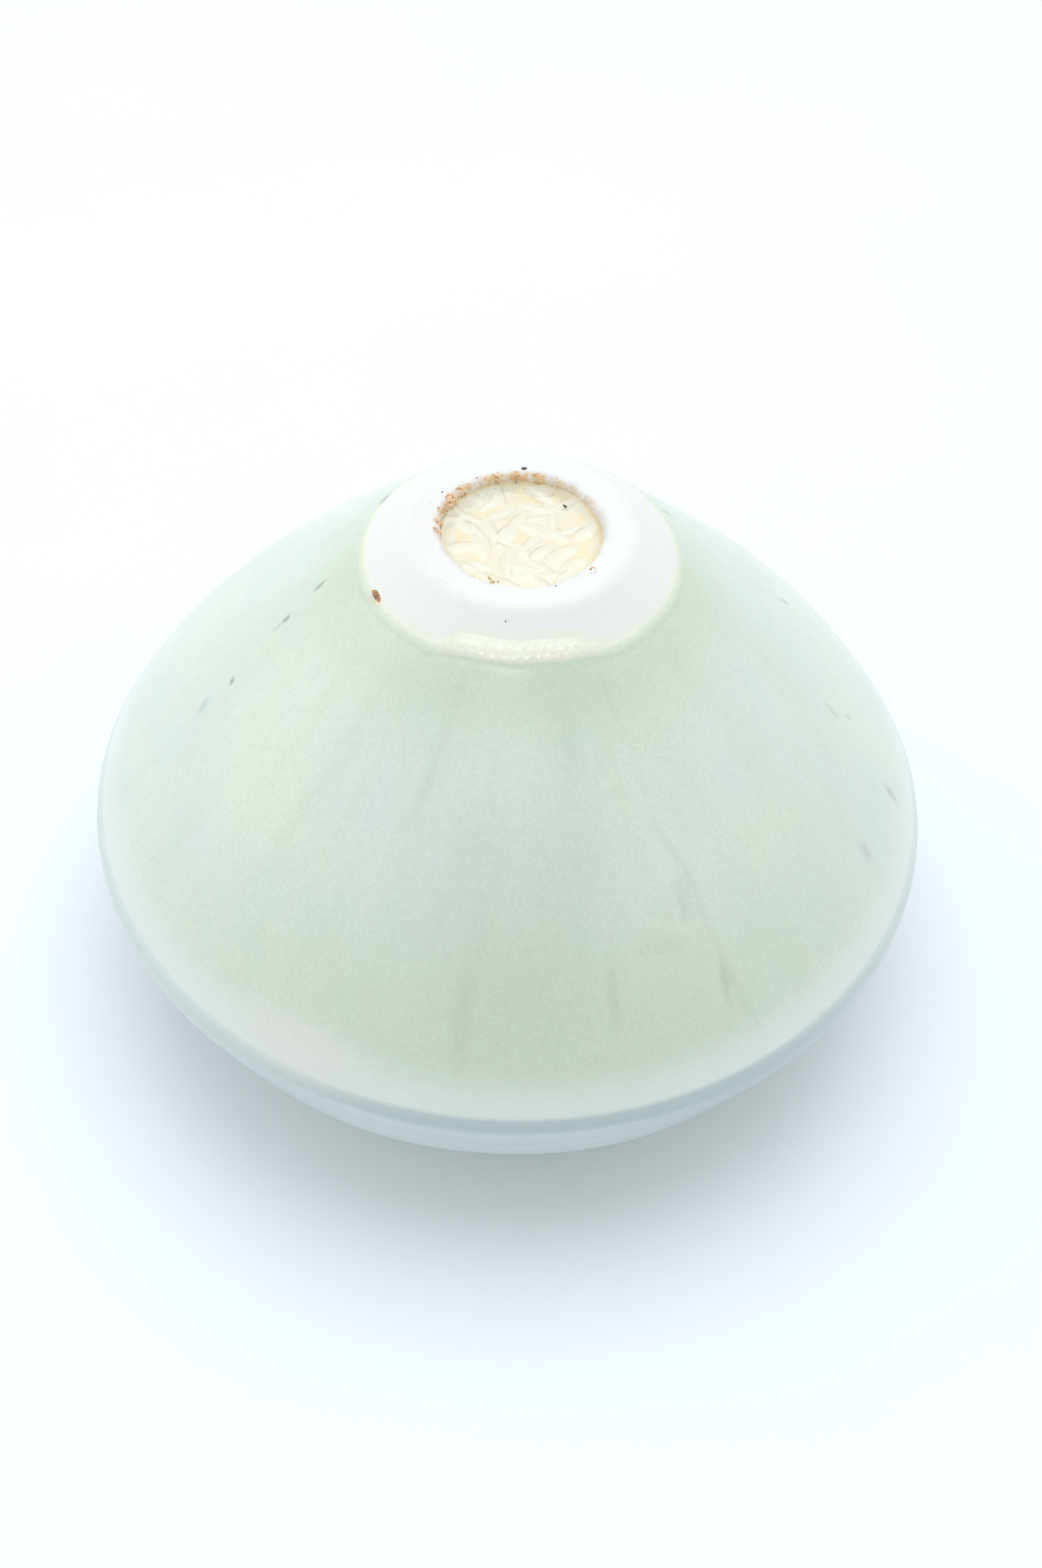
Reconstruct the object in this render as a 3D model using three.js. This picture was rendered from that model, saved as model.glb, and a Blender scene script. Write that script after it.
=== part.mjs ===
// A squat celadon vase, stored upside down on its mouth, foot up, as a potter sets it to show the foot.
// Millimetres, +Z up. The origin is on the vase's axis, in the plane of the rim that it stands on.
// Every piece is turned about the axis, so each outline is a line of (radius, height) points.

import * as THREE from 'three';

// Outside of the vase
const BELLY_RADIUS = 60;
const BELLY_EDGE = 3;
const FOOT_RISE = 49.3;
const LEAN_AT_FOOT = 44.9;
const LEAN_AT_BELLY = 31.5;
const CONE_PULL = 0.37;
const SHOULDER_RADIUS = 15;
const SHOULDER_SLOPE = 12;

// Mouth, neck and lip
const MOUTH_RADIUS = 17;
const LIP_WIDTH = 5.5;
const LIP_HEIGHT = 3.2;
const LIP_ROUND = 1.2;
const NECK_FILLET = 3;

// Turned foot: a flat ring with a bevel outside it and a well inside it
const WELL_RADIUS = 10.6;
const WELL_DEPTH = 2.2;
const FOOT_FLAT_WIDTH = 4;
const BEVEL_WIDTH = 5.6;
const BEVEL_DROP = 4.2;
const FOOT_SKIRT = 1.8;

// Thicknesses of clay, slip and glaze
const WALL = 5;
const BASE = 6;
const SLIP = 1.2;
const COAT = 0.7;
const LINER = 0.6;
const RIM_BEAD = 0.8;
const POOL = 1.2;
const POOL_CREEP = 0.8;

// Clearance between pieces that are fused on the real vase
const SEAT = 0.3;

// Steps round the axis and along each curved stretch of an outline
const TURN_STEPS = 48;
const CONE_STEPS = 8;
const EDGE_STEPS = 2;
const SHOULDER_STEPS = 6;
const FILLET_STEPS = 3;
const ROUND_STEPS = 3;

// Radii and heights that follow from the sizes above
const slope = THREE.MathUtils.degToRad(SHOULDER_SLOPE);
const neckRadius = MOUTH_RADIUS + LIP_WIDTH;
const neckBore = MOUTH_RADIUS + LINER + SEAT;
const shoulderCentre = BELLY_RADIUS - SHOULDER_RADIUS;
const filletEnd = neckRadius + NECK_FILLET * (1 - Math.sin(slope));
const filletTop = LIP_HEIGHT + NECK_FILLET * Math.cos(slope);
const shoulderRun = shoulderCentre + SHOULDER_RADIUS * Math.sin(slope) - filletEnd;
const bellyHeight = filletTop + shoulderRun * Math.tan(slope) + SHOULDER_RADIUS * Math.cos(slope);
const seamTop = bellyHeight + SLIP / 2;
const seamBottom = bellyHeight - SLIP / 2;
const footFace = bellyHeight + FOOT_RISE;
const footFlatRadius = WELL_RADIUS + FOOT_FLAT_WIDTH;
const ringUnderside = footFace - BEVEL_DROP - FOOT_SKIRT;
const ringSeat = ringUnderside - SEAT;
const poolRadius = WELL_RADIUS - SEAT;
const poolTop = footFace - WELL_DEPTH;
const wellFloor = poolTop - POOL - SEAT;
const innerFloor = ringSeat - BASE;
const clayDepth = COAT + SEAT;

function point(radius, height) {
  return new THREE.Vector2(radius, height);
}

// Direction down the outside of the cone, at an angle from the vertical
function downhill(lean) {
  const angle = THREE.MathUtils.degToRad(lean);
  return point(Math.sin(angle), -Math.cos(angle));
}

function arc(centre, radius, fromAngle, toAngle, steps) {
  const clockwise = toAngle < fromAngle;
  const curve = new THREE.EllipseCurve(centre.x, centre.y, radius, radius, fromAngle, toAngle, clockwise);
  return curve.getPoints(steps);
}

// The same line set back into the solid by a depth, with its corners kept sharp
function inset(line, depth) {
  const sides = line.slice(1).map((end, i) => {
    const way = end.clone().sub(line[i]).normalize();
    return point(way.y, -way.x);
  });
  return line.map((corner, i) => {
    const before = sides[Math.max(i - 1, 0)];
    const after = sides[Math.min(i, sides.length - 1)];
    const middle = before.clone().add(after).normalize();
    return corner.clone().addScaledVector(middle, depth / middle.dot(before));
  });
}

// The stretch of a falling line between two heights, cut square at both
function between(line, top, bottom) {
  const kept = [];
  line.forEach((here, i) => {
    if (here.y <= top && here.y >= bottom) {
      kept.push(here);
    }
    const next = line[i + 1];
    [top, bottom].forEach((height) => {
      if (next && here.y > height && next.y < height) {
        kept.push(here.clone().lerp(next, (here.y - height) / (here.y - next.y)));
      }
    });
  });
  return kept;
}

// A skin between an outer and an inner line that run the same way
function skin(outer, inner) {
  return [...outer, ...inner.slice().reverse()];
}

// The cone from the glaze line at the foot to just above the belly
function coneLine() {
  const lean = THREE.MathUtils.degToRad(LEAN_AT_BELLY);
  const foot = point(footFlatRadius + BEVEL_WIDTH, footFace - BEVEL_DROP);
  const edgeCentre = BELLY_RADIUS - BELLY_EDGE;
  const belly = point(edgeCentre + BELLY_EDGE * Math.cos(lean), bellyHeight + BELLY_EDGE * Math.sin(lean));
  const pull = CONE_PULL * foot.distanceTo(belly);
  const leave = foot.clone().addScaledVector(downhill(LEAN_AT_FOOT), pull);
  const arrive = belly.clone().addScaledVector(downhill(LEAN_AT_BELLY), -pull);
  return new THREE.CubicBezierCurve(foot, leave, arrive, belly).getPoints(CONE_STEPS);
}

// The glazed outside, from the glaze line down over belly, shoulder and neck to the rim's plane
function outsideLine() {
  const lean = THREE.MathUtils.degToRad(LEAN_AT_BELLY);
  const edge = arc(point(BELLY_RADIUS - BELLY_EDGE, bellyHeight), BELLY_EDGE, lean, 0, EDGE_STEPS);
  const turn = Math.PI / 2 - slope;
  const shoulder = arc(point(shoulderCentre, bellyHeight), SHOULDER_RADIUS, 0, -turn, SHOULDER_STEPS);
  const filletCentre = point(neckRadius + NECK_FILLET, LIP_HEIGHT);
  const fillet = arc(filletCentre, NECK_FILLET, Math.PI - turn, Math.PI, FILLET_STEPS);
  return [...coneLine(), ...edge.slice(1), ...shoulder.slice(1), ...fillet, point(neckRadius, 0)];
}

// The clay's inside, from the axis under the base down to the rim's plane
function insideLine() {
  const depth = clayDepth + WALL;
  const cone = between(inset(coneLine(), depth), innerFloor, seamTop);
  const radius = SHOULDER_RADIUS - depth;
  const shoulder = arc(point(shoulderCentre, bellyHeight), radius, 0, slope - Math.PI / 2, SHOULDER_STEPS);
  const last = shoulder[shoulder.length - 1];
  const neckTop = last.y - (last.x - neckBore) * Math.tan(slope);
  return [point(0, innerFloor), ...cone, ...shoulder, point(neckBore, neckTop), point(neckBore, 0)];
}

const outside = outsideLine();
const clayOutside = inset(outside, clayDepth);
const clayInside = insideLine();

// Thrown lower section: cone wall, base, and the raised floor of the well
function lowerBody() {
  const top = [point(0, wellFloor), point(poolRadius, wellFloor), point(poolRadius, ringSeat)];
  const wall = between(clayOutside, ringSeat, seamTop + SEAT);
  return skin([...top, ...wall], between(clayInside, innerFloor, seamTop + SEAT));
}

// Thrown upper section: shoulder, neck and the clay of the lip
function shoulderBody() {
  const top = seamBottom - SEAT;
  const bottom = RIM_BEAD + SEAT;
  return skin(between(clayOutside, top, bottom), between(clayInside, top, bottom));
}

function lutingSlip() {
  return skin(between(clayOutside, seamTop, seamBottom), between(clayInside, seamTop, seamBottom));
}

// Turned foot, bare above the glaze line and under the coat below it
function footRing() {
  const well = [point(WELL_RADIUS, ringUnderside), point(WELL_RADIUS, footFace)];
  const flatEdge = point(footFlatRadius, footFace);
  const glazeLine = outside[0];
  const bevelEnd = glazeLine.clone().lerp(flatEdge, SEAT / glazeLine.distanceTo(flatEdge));
  return [...well, flatEdge, bevelEnd, ...between(clayOutside, footFace, ringUnderside)];
}

function celadonCoat() {
  const bottom = LIP_HEIGHT + SEAT;
  return skin(between(outside, footFace, bottom), between(inset(outside, COAT), footFace, bottom));
}

function linerCoat() {
  const bottom = LIP_HEIGHT + SEAT;
  const clayFace = between(inset(clayInside, SEAT), innerFloor, bottom);
  return skin(clayFace, between(inset(clayInside, SEAT + LINER), innerFloor, bottom));
}

// A bead that closes over the lip, flat where the vase stands on it
function rimBead() {
  const bottom = LIP_ROUND;
  const outer = arc(point(neckRadius - LIP_ROUND, bottom), LIP_ROUND, 0, -Math.PI / 2, ROUND_STEPS);
  const inner = arc(point(MOUTH_RADIUS + LIP_ROUND, bottom), LIP_ROUND, -Math.PI / 2, -Math.PI, ROUND_STEPS);
  const innerWall = MOUTH_RADIUS + LINER;
  const outerWall = neckRadius - COAT;
  return [
    point(neckRadius, LIP_HEIGHT),
    ...outer,
    ...inner,
    point(MOUTH_RADIUS, LIP_HEIGHT),
    point(innerWall, LIP_HEIGHT),
    point(innerWall, RIM_BEAD),
    point(outerWall, RIM_BEAD),
    point(outerWall, LIP_HEIGHT),
  ];
}

// Glaze pooled in the well, creeping up the ring's inner wall
function wellPool() {
  const creepCentre = point(poolRadius - POOL_CREEP, poolTop + POOL_CREEP);
  const creep = arc(creepCentre, POOL_CREEP, -Math.PI / 2, 0, ROUND_STEPS);
  const underside = poolTop - POOL;
  return [point(0, poolTop), ...creep, point(poolRadius, underside), point(0, underside)];
}

// Turns an outline about the axis; the outline is closed unless it starts and ends on the axis
function turned(name, outline, look) {
  const closed = outline[0].x === 0 ? outline : [...outline, outline[0]];
  const upward = THREE.ShapeUtils.isClockWise(outline) ? closed.slice().reverse() : closed;
  const geometry = new THREE.LatheGeometry(upward, TURN_STEPS);
  geometry.rotateX(Math.PI / 2);
  const mesh = new THREE.Mesh(geometry, new THREE.MeshStandardMaterial({ metalness: 0, ...look }));
  mesh.name = name;
  return mesh;
}

const clay = { color: 0xeeebe4, roughness: 0.85 };
const slip = { color: 0xe6e0d4, roughness: 0.9 };
const celadon = { color: 0xc4d2c3, roughness: 0.18 };
const paleCeladon = { color: 0xd3ddd3, roughness: 0.2 };
const cream = { color: 0xf1e8d2, roughness: 0.35 };

const vase = new THREE.Group();
vase.add(
  turned('lower_body', lowerBody(), clay),
  turned('shoulder_body', shoulderBody(), clay),
  turned('luting_slip', lutingSlip(), slip),
  turned('foot_ring', footRing(), clay),
  turned('celadon_coat', celadonCoat(), celadon),
  turned('liner_coat', linerCoat(), paleCeladon),
  turned('rim_bead', rimBead(), paleCeladon),
  turned('well_pool', wellPool(), cream),
);

export default vase;
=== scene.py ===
"""The finish of a squat celadon vase that stands on its mouth, foot up.

Every piece is turned about the Z axis, so an outline is rows of (radius, height) in metres, and
what a hand and a kiln leave on it is added along the outline's normals.
"""

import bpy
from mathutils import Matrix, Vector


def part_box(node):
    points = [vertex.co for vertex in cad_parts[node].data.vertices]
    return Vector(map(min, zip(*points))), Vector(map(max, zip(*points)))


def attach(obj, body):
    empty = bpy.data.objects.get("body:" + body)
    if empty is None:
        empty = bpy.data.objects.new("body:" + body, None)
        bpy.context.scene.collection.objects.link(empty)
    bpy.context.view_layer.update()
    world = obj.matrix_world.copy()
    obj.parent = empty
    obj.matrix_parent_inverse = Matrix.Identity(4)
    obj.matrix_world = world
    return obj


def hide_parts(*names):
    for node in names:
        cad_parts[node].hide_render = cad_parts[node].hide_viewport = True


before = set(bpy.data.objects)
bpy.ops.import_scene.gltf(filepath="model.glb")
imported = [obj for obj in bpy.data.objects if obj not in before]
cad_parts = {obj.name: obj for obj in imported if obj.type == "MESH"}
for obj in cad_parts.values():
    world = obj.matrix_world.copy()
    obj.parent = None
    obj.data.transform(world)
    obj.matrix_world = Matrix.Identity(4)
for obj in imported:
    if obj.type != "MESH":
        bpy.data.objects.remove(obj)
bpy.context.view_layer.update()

import math

import bmesh
import bpy
import numpy as np
from bpy.props import FloatProperty, FloatVectorProperty, IntProperty, PointerProperty
from mathutils import Matrix, Vector, noise

bl_info = {
    "name": "Celadon vase",
    "version": (1, 0, 0),
    "blender": (4, 5, 0),
    "location": "3D View > Sidebar > Vase",
    "description": "Builds the clay, glaze, grit and stage of a celadon vase round its solids",
    "category": "Object",
}

BODY = "root"
MM = 0.001

# The photograph's height in pixels, and the long side of the camera's sensor
PHOTO_HEIGHT = 2360
SENSOR_MM = 36.0

# Places taken from the solids
COAT_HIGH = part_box("celadon_coat")[1]
SLIP_LOW, SLIP_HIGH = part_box("luting_slip")
FOOT_LOW, FOOT_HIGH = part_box("foot_ring")
RIM_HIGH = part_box("rim_bead")[1]
POOL_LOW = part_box("well_pool")[0]
LINER_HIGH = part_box("liner_coat")[1]

# Points round the axis in each turned mesh, and rows across the pool and the coat's back
FOOT_SEGMENTS = 320
COAT_SEGMENTS = 512
LINER_SEGMENTS = 192
RIM_SEGMENTS = 256
POOL_SEGMENTS = 520
POOL_ROWS = 140
COAT_BACK_ROWS = 20

# How far clay and glaze run under each other where they meet
OVERLAP = 0.25 * MM


# Properties


def length(label, about, default):
    return FloatProperty(name=label, description=about, default=default, min=0.0, unit="LENGTH", precision=5)


def turn(label, about, degrees):
    return FloatProperty(name=label, description=about, default=math.radians(degrees), subtype="ANGLE")


def share(label, about, default):
    return FloatProperty(name=label, description=about, default=default, min=0.0, max=1.0, subtype="FACTOR")


def amount(label, about, default, unit="NONE"):
    return FloatProperty(name=label, description=about, default=default, min=0.0, unit=unit)


def colour(label, about, default):
    return FloatVectorProperty(
        name=label, description=about, default=default, size=3, min=0.0, max=1.0, subtype="COLOR"
    )


class VaseForm(bpy.types.PropertyGroup):
    """Sizes of the vase, which follow its solids"""

    belly_radius: length("Belly radius", "Widest radius, over the glaze", COAT_HIGH.x)
    belly_height: length("Belly height", "Height of the widest circle", (SLIP_LOW.z + SLIP_HIGH.z) / 2)
    belly_edge: length("Belly edge", "Radius of the edge above the belly", 3.0 * MM)
    lean_at_foot: turn("Lean at foot", "Lean of the cone from upright, at the foot", 44.9)
    lean_at_belly: turn("Lean at belly", "Lean of the cone from upright, at the belly", 31.5)
    cone_pull: share("Cone pull", "Handle length of the cone's curve, of its chord", 0.37)
    shoulder_radius: length("Shoulder radius", "Radius of the round under the belly", 15.0 * MM)
    shoulder_slope: turn("Shoulder slope", "Slope of the flat of the shoulder", 12.0)
    neck_radius: length("Neck radius", "Outer radius of neck and lip", RIM_HIGH.x)
    neck_fillet: length("Neck fillet", "Radius between shoulder and neck", 3.0 * MM)
    mouth_radius: length("Mouth radius", "Clear radius of the mouth", 17.0 * MM)
    lip_height: length("Lip height", "Height of the bead on the lip", RIM_HIGH.z)
    lip_round: length("Lip round", "Radius of the lip's edges", 1.2 * MM)
    foot_face: length("Foot face", "Height of the flat of the foot", FOOT_HIGH.z)
    foot_underside: length("Foot underside", "Height where the foot ring is stuck on", FOOT_LOW.z)
    foot_flat_radius: length("Foot flat", "Outer radius of the flat of the foot", 14.6 * MM)
    glaze_radius: length("Glaze line", "Radius where the glaze ends at the foot", 20.2 * MM)
    glaze_drop: length("Glaze drop", "How far the glaze line lies under the foot's flat", 4.2 * MM)
    well_radius: length("Well radius", "Radius of the recess in the foot", 10.6 * MM)
    well_depth: length("Well depth", "Depth of the recess, over its glaze", 2.2 * MM)
    wall: length("Wall", "Clay and glaze between the outside and the inside", 6.9 * MM)


class GlazeLook(bpy.types.PropertyGroup):
    """Colours and relief of the glazes"""

    body: colour("Body", "Celadon at its usual thickness", (0.685, 0.76, 0.66))
    deep: colour("Deep", "Celadon where it is thick", (0.605, 0.695, 0.57))
    grey: colour("Grey", "Greyer drift in the celadon", (0.665, 0.745, 0.685))
    # This colour also paints a broad dark reflection over the front of the cone
    shade: colour("Shade", "Ridges and smudges in the celadon", (0.28, 0.34, 0.29))
    thin: colour("Thin", "Celadon that breaks pale over the belly's edge", (0.74, 0.81, 0.785))
    blush: colour("Blush", "Warm pale patch over the belly", (0.755, 0.765, 0.71))
    # Painted shade: the dark line where the belly turns under
    crease: colour("Crease", "Dark line along the belly", (0.45, 0.55, 0.56))
    # Painted shade: the shaded underside of the belly, with the shadowed floor mirrored in it
    under: colour("Under", "Celadon under the belly", (0.47, 0.58, 0.61))
    line: colour("Line", "Pale edge and roll of the glaze at the foot", (0.84, 0.86, 0.73))
    rust: colour("Rust", "Halo of the iron spot", (0.66, 0.42, 0.20))
    cream: colour("Cream", "Glaze in the well", (0.79, 0.765, 0.62))
    cream_pale: colour("Pale cream", "Glaze in the well where it is thin", (0.79, 0.785, 0.68))
    cream_deep: colour("Deep cream", "Glaze in the well where it pools", (0.81, 0.725, 0.48))
    # Painted shade along one edge of each stroke in the well
    cream_shade: colour("Cream shade", "Creases between the strokes", (0.50, 0.44, 0.36))
    cream_speck: colour("Cream specks", "Brown specks in the glaze of the well", (0.30, 0.20, 0.12))
    amber: colour("Amber", "Glaze in the well where it creeps up the wall", (0.70, 0.56, 0.26))
    rim: colour("Well rim", "Glaze in the well where it thins out on the clay", (0.79, 0.79, 0.76))
    coat_thickness: length("Coat", "Thickness of the celadon", 0.7 * MM)
    line_wander: length("Line wander", "How far the glaze line strays", 0.1 * MM)
    line_climb: length("Line climb", "How far the glaze climbs the bevel where it ran", 0.9 * MM)
    roll_climb: length("Roll climb", "How much further it climbs in its thick roll", 2.7 * MM)
    roll_thin: length("Thin roll", "Height of the roll along the glaze line", 0.1 * MM)
    roll_thick: length("Thick roll", "Height of the roll where the glaze ran", 0.2 * MM)
    roll_width: length("Roll width", "Distance from the glaze line to the crest of its roll", 1.0 * MM)
    roll_from: turn("Roll side", "Side of the foot where the glaze ran", -88.0)
    roll_spread: turn("Roll spread", "Half the stretch where the glaze ran", 29.0)
    stroke_count: IntProperty(name="Strokes", description="Strokes pressed into the well", default=46, min=0)
    stroke_depth: length("Stroke depth", "Relief of the strokes in the well", 0.3 * MM)


class ClayLook(bpy.types.PropertyGroup):
    """Colours of bare clay, slip and grit"""

    clay: colour("Clay", "Bare fired clay", (0.798, 0.815, 0.812))
    film: colour("Film", "Clay under a film of glaze, next to the glaze line", (0.80, 0.835, 0.72))
    smudge: colour("Smudge", "Grey dirt in lines and pores", (0.45, 0.45, 0.46))
    stain: colour("Stain", "Iron stain on the clay", (0.70, 0.49, 0.25))
    slip: colour("Slip", "Slip in the seam", (0.70, 0.65, 0.57))
    grit: colour("Grit", "Kiln grit", (0.55, 0.28, 0.12))
    grit_pale: colour("Pale grit", "Glassy grains among the grit", (0.86, 0.64, 0.42))
    iron: colour("Iron", "Iron spot at the glaze line", (0.16, 0.075, 0.04))
    speck: colour("Speck", "Dark specks", (0.035, 0.03, 0.025))
    speck_pale: colour("Pale speck", "Browner parts of the dark specks", (0.12, 0.075, 0.045))


class StageLook(bpy.types.PropertyGroup):
    """Camera, light and floor"""

    distance: length("Distance", "From the camera to the point that it looks at", 275.4 * MM)
    tilt: turn("Tilt", "How far the camera looks down", 49.24)
    roll: turn("Roll", "How far the picture is turned clockwise", 2.99)
    aside: length("Aside", "How far right of the axis the camera looks", 1.63 * MM)
    below: length("Below", "How far under the belly the camera looks", 0.74 * MM)
    focal_pixels: amount("Focal length", "In pixels of the photograph", 2800.0)
    floor: colour("Floor", "Pale floor", (0.86, 0.90, 0.935))
    sky: colour("Sky", "Light from all round", (0.975, 0.99, 1.0))
    sky_strength: amount("Sky strength", "Light from the sides and the back", 0.86)
    sky_front: share("Sky in front", "Light from the front, as a share of the rest", 0.67)
    panel_power: amount("Panel", "Power of the panel overhead", 4.3, "POWER")
    side_power: amount("Side panel", "Power of the panel on the left", 0.75, "POWER")
    lamp_power: amount("Lamp", "Power of the small lamp in front", 0.6, "POWER")
    floor_radius: length("Floor radius", "Radius of the floor", 4.0)


# Outlines


def smooth(low, high, value):
    """0 below low, 1 above high, with a soft step between them"""
    part = np.clip((value - low) / (high - low), 0.0, 1.0)
    return part * part * (3.0 - 2.0 * part)


def arc(centre, radius, start, end, count=60):
    turned = np.linspace(start, end, count)
    return np.stack([centre[0] + radius * np.cos(turned), centre[1] + radius * np.sin(turned)], axis=1)


def straight(start, end, count=40):
    part = np.linspace(0.0, 1.0, count)[:, None]
    return (1.0 - part) * np.array(start) + part * np.array(end)


def through(*corners):
    """Straight stretches from corner to corner"""
    return joined(*[straight(start, end) for start, end in zip(corners[:-1], corners[1:])])


def bezier(corners, count=200):
    part = np.linspace(0.0, 1.0, count)[:, None]
    points = np.array(corners)
    while len(points) > 1:
        points = [(1.0 - part) * a + part * b for a, b in zip(points[:-1], points[1:])]
    return points[0]


def joined(*stretches):
    """Stretches end to end, without the points that repeat"""
    line = np.concatenate(stretches)
    step = np.linalg.norm(np.diff(line, axis=0), axis=1)
    return line[np.concatenate([[True], step > 1e-9])]


class Outline:
    """A line of (radius, height) points that can be read at any distance along it"""

    def __init__(self, line, zero=0.0):
        step = np.linalg.norm(np.diff(line, axis=0), axis=1)
        self.along = np.concatenate([[0.0], np.cumsum(step)]) - zero
        self.line = line
        way = np.gradient(line, self.along, axis=0)
        self.normal = np.stack([-way[:, 1], way[:, 0]], axis=1)
        self.normal /= np.linalg.norm(self.normal, axis=1)[:, None]

    @property
    def end(self):
        return self.along[-1]

    def at(self, along, lift=0.0):
        """Radius and height at distances along the line, lifted off it"""
        columns = (*self.line.T, *self.normal.T)
        radius, height, across, up = (np.interp(along, self.along, column) for column in columns)
        return radius + across * lift, height + up * lift

    def along_at_height(self, height):
        """Distance along a falling line at which it reaches a height"""
        return float(np.interp(-height, -self.line[:, 1], self.along))


def steps(*bands):
    """Distances along a line, from bands of (end, spacing)"""
    marks = [np.zeros(1)]
    start = 0.0
    for end, spacing in bands:
        count = max(1, round((end - start) / spacing))
        marks.append(np.linspace(start, end, count + 1)[1:])
        start = end
    return np.concatenate(marks)


def downhill(lean):
    return np.array([math.sin(lean), -math.cos(lean)])


def glaze_line(form):
    """Where the glaze ends at the foot"""
    return np.array([form.glaze_radius, form.foot_face - form.glaze_drop])


def flat_edge(form):
    """Where the flat of the foot meets its bevel"""
    return np.array([form.foot_flat_radius, form.foot_face])


def cone_stretch(form):
    """The cone from the glaze line to just above the belly"""
    foot = glaze_line(form)
    lean = form.lean_at_belly
    centre = np.array([form.belly_radius - form.belly_edge, form.belly_height])
    belly = centre + form.belly_edge * np.array([math.cos(lean), math.sin(lean)])
    pull = form.cone_pull * np.linalg.norm(belly - foot)
    leave = foot + pull * downhill(form.lean_at_foot)
    arrive = belly - pull * downhill(lean)
    return bezier([foot, leave, arrive, belly])


def outside(form):
    """The glazed outside from a little above the glaze line to the top of the lip's bead; 0 is at the line"""
    line, edge = glaze_line(form), flat_edge(form)
    above_line = 5.0 * MM
    start = line + above_line * (edge - line) / np.linalg.norm(edge - line)
    belly = (form.belly_radius - form.belly_edge, form.belly_height)
    shoulder = (form.belly_radius - form.shoulder_radius, form.belly_height)
    fillet = (form.neck_radius + form.neck_fillet, form.lip_height)
    turned = math.pi / 2 - form.shoulder_slope
    path = joined(
        straight(start, line),
        cone_stretch(form),
        arc(belly, form.belly_edge, form.lean_at_belly, 0.0),
        arc(shoulder, form.shoulder_radius, 0.0, -turned),
        arc(fillet, form.neck_fillet, math.pi - turned, math.pi),
    )
    return Outline(path, zero=above_line)


def inside(form):
    """The glazed inside, from the axis under the base to the lip's bead"""
    cone = Outline(cone_stretch(form))
    radius, height = cone.at(cone.along, -form.wall)
    top = LINER_HIGH.z
    keep = (height < top) & (height > form.belly_height)
    wall = np.stack([radius, height], axis=1)[keep]
    centre = (form.belly_radius - form.shoulder_radius, form.belly_height)
    turned = math.pi / 2 - form.shoulder_slope
    shoulder = arc(centre, form.shoulder_radius - form.wall, 0.0, -turned)
    drop = (shoulder[-1, 0] - form.mouth_radius) * math.tan(form.shoulder_slope)
    neck = (form.mouth_radius, shoulder[-1, 1] - drop)
    return joined(
        straight((0.0, top), (wall[0, 0], top)),
        wall,
        shoulder,
        through(shoulder[-1], neck, (form.mouth_radius, form.lip_height)),
    )


# Meshes


def circle_angles(segments):
    return np.arange(segments) * (math.tau / segments)


def gap(angle, centre):
    """Angle from a centre, between minus and plus half a turn"""
    return (angle - centre + math.pi) % math.tau - math.pi


def waves(angle, along, count, most_turns, seed):
    """A smooth random field round the axis and along an outline, about -1 to 1"""
    draw = np.random.default_rng(seed)
    field = np.zeros(np.broadcast(angle, along).shape)
    for _ in range(count):
        turns = int(draw.integers(1, most_turns + 1))
        drift = draw.uniform(-1.0, 1.0) * most_turns / (60.0 * MM)
        field = field + np.cos(turns * angle + drift * along + draw.uniform(0.0, math.tau))
    return field / math.sqrt(count)


def new_object(name, mesh, material):
    made = bpy.data.objects.new(name, mesh)
    bpy.context.scene.collection.objects.link(made)
    mesh.materials.append(material)
    return made


def turned_mesh(name, radius, height, on_axis):
    """A closed mesh from rows of radius and height round the axis.

    On the axis, the first and the last row are one point each; otherwise the last row meets the first.
    """
    rows, segments = radius.shape
    angle = circle_angles(segments)
    points = np.stack([radius * np.cos(angle), radius * np.sin(angle), height], axis=2)
    column = np.arange(segments)
    after = (column + 1) % segments

    def quads(upper, lower):
        return np.stack([upper + column, lower + column, lower + after, upper + after], axis=1).tolist()

    faces = []
    if on_axis:
        body = points[1:-1].reshape(-1, 3)
        places = np.concatenate([points[0, :1], body, points[-1, :1]])
        starts = 1 + segments * np.arange(rows - 2)
        last = len(places) - 1
        faces += [[0, starts[0] + int(j), starts[0] + int(k)] for j, k in zip(column, after)]
        faces += [[last, starts[-1] + int(k), starts[-1] + int(j)] for j, k in zip(column, after)]
        pairs = zip(starts[:-1], starts[1:])
    else:
        places = points.reshape(-1, 3)
        starts = segments * np.arange(rows)
        pairs = zip(starts, np.roll(starts, -1))
    for upper, lower in pairs:
        faces += quads(upper, lower)
    mesh = bpy.data.meshes.new(name)
    mesh.from_pydata(places.tolist(), [], faces)
    shape = bmesh.new()
    shape.from_mesh(mesh)
    bmesh.ops.recalc_face_normals(shape, faces=shape.faces)
    shape.to_mesh(mesh)
    shape.free()
    mesh.shade_smooth()
    return mesh


def store(mesh, name, values, on_axis):
    """Keeps a value for each point of a turned mesh, from a grid of rows and segments"""
    if on_axis:
        values = np.concatenate([values[0, :1], values[1:-1].ravel(), values[-1, :1]])
    layer = mesh.attributes.new(name, "FLOAT", "POINT")
    layer.data.foreach_set("value", np.ascontiguousarray(values, dtype=np.float32).ravel())


def place(piece, slot, *nodes):
    """Rides a piece on the vase, in place of its solids"""
    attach(piece, BODY)
    if nodes:
        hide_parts(*nodes)


def front_and_back(front, back):
    """Rows of (radius, height) over a front and a back, one after the other"""
    return tuple(np.concatenate(pair) for pair in zip(front, back))


def turned_piece(name, rows, material, slot, node, on_axis=False, **shares):
    """Turns rows of (radius, height) into a piece in place of a solid, with shares kept on its points.

    A share covers the first rows of points; the rows after them are at the back, and have none.
    """
    radius, height = rows
    mesh = turned_mesh(name, radius, height, on_axis)
    for label, values in shares.items():
        padded = np.zeros(radius.shape)
        padded[: len(values)] = values
        store(mesh, label, padded, on_axis)
    place(new_object(name, mesh, material), slot, node)


# Shader nodes


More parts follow.
